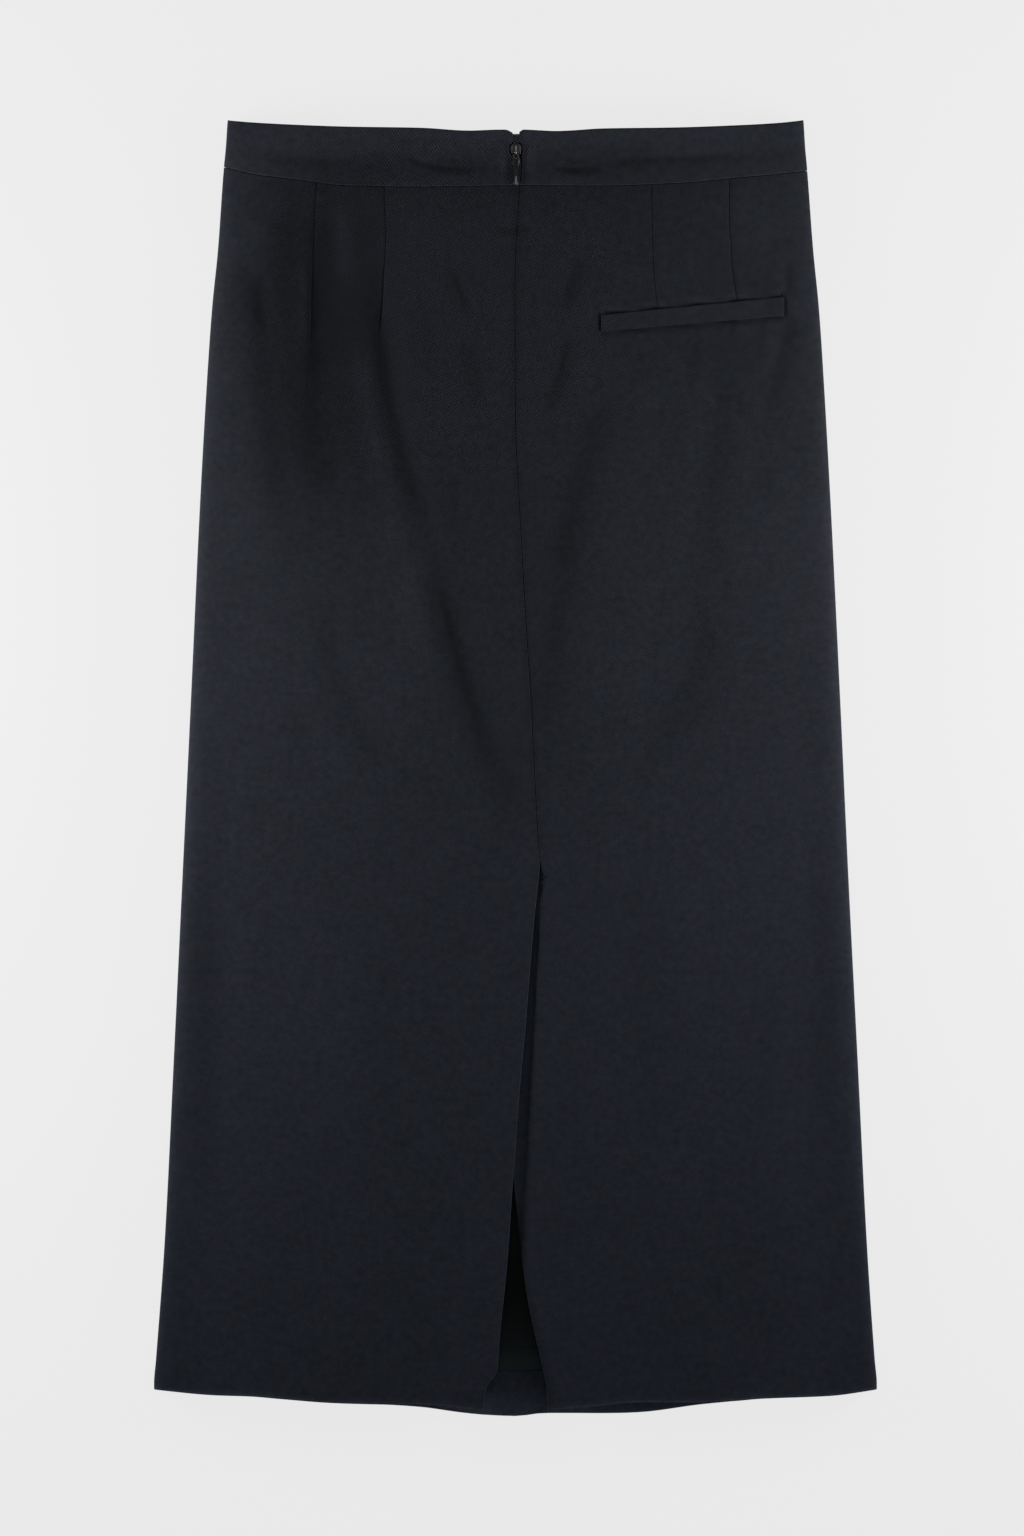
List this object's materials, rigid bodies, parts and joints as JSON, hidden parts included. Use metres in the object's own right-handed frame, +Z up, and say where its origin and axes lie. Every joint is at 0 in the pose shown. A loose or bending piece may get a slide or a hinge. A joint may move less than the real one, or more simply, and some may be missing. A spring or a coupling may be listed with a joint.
{
  "type": "pencil skirt",
  "caption": "Midi pencil skirt in wool twill, laid flat back side up, with waistband, back zip, darts, one welt pocket and a lapped back slit.",
  "frame": {"origin": "on the surface that the laid skirt rests on, under the middle of its outline", "axes": "+Y from the hem to the waist, +X towards the wearer's right (the back is up), +Z up from the surface"},
  "size_m": [0.5054, 0.9067, 0.022],
  "materials": {
    "twill": "fine wool twill, diagonal rib, soft sheen at the edges",
    "twill_band": "the same twill cut across, interfaced",
    "lining": "dull satin lining",
    "zip_tape": "woven zip tape",
    "zip_coil": "nylon coil",
    "zip_metal": "glossy gunmetal lacquer"
  },
  "bodies": {
    "skirt": {"front_panel": "twill", "back_left_panel": "twill", "back_right_panel": "twill", "waistband_front": "twill_band", "waistband_back_left": "twill_band", "waistband_back_right": "twill_band", "pocket_welt": "twill", "front_lining": "lining", "zip_tape": "zip_tape", "zip_coil": "zip_coil", "zip_slider": "zip_metal"},
    "zip_pull_tab": {"zip_pull": "zip_metal"}
  },
  "joints": [
    {"name": "zip_pull_hinge", "type": "hinge", "parent": "skirt", "child": "zip_pull_tab", "pos_m": [0.0005, 0.42945, 0.01533], "axis": [-1, 0, 0], "range_deg": [0, 145]}
  ]
}
